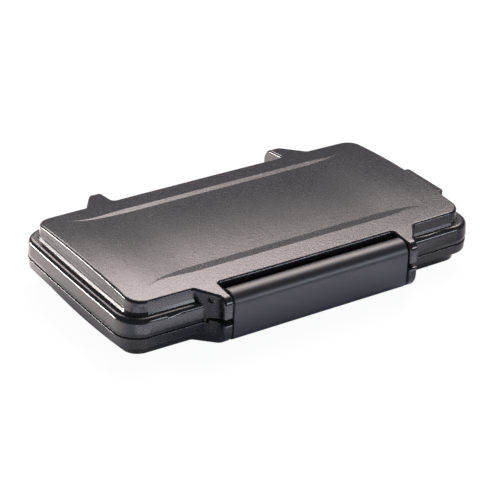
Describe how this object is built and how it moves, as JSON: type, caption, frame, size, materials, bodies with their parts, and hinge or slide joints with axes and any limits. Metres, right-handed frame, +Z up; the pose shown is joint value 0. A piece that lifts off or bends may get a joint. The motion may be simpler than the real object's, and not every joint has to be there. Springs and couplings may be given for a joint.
{
  "type": "memory card case",
  "caption": "Slim clamshell hard case for memory cards: crowned lid with a pressed panel, hinge ears at the back, wide front latch, gasket and soft pocket trays inside.",
  "frame": {"origin": "centre of the flat land on the base's bottom, where the closed case rests", "axes": "+X along the case towards the end tab, +Y from the latch to the hinge, +Z up through the lid"},
  "size_m": [0.1419, 0.0846, 0.0214],
  "materials": {
    "shell": "fine moulded texture",
    "latch": "satin",
    "seal": "smooth",
    "tray": "soft matte",
    "pin": "ground"
  },
  "bodies": {
    "base": {"base_shell": "shell", "seal_ring": "seal", "base_tray": "tray", "hinge_pin_left": "pin", "hinge_pin_right": "pin"},
    "lid": {"lid_shell": "shell", "lid_tray": "tray", "latch_pin_left": "pin", "latch_pin_right": "pin"},
    "latch": {"latch": "latch"}
  },
  "joints": [
    {"name": "lid_hinge", "type": "hinge", "parent": "base", "child": "lid", "pos_m": [0, 0.03925, 0.0107], "axis": [-1, 0, 0], "range_deg": [0, 180]},
    {"name": "latch_pivot", "type": "hinge", "parent": "lid", "child": "latch", "pos_m": [0, -0.03645, 0.01715], "axis": [-1, 0, 0], "range_deg": [0, 110]}
  ]
}
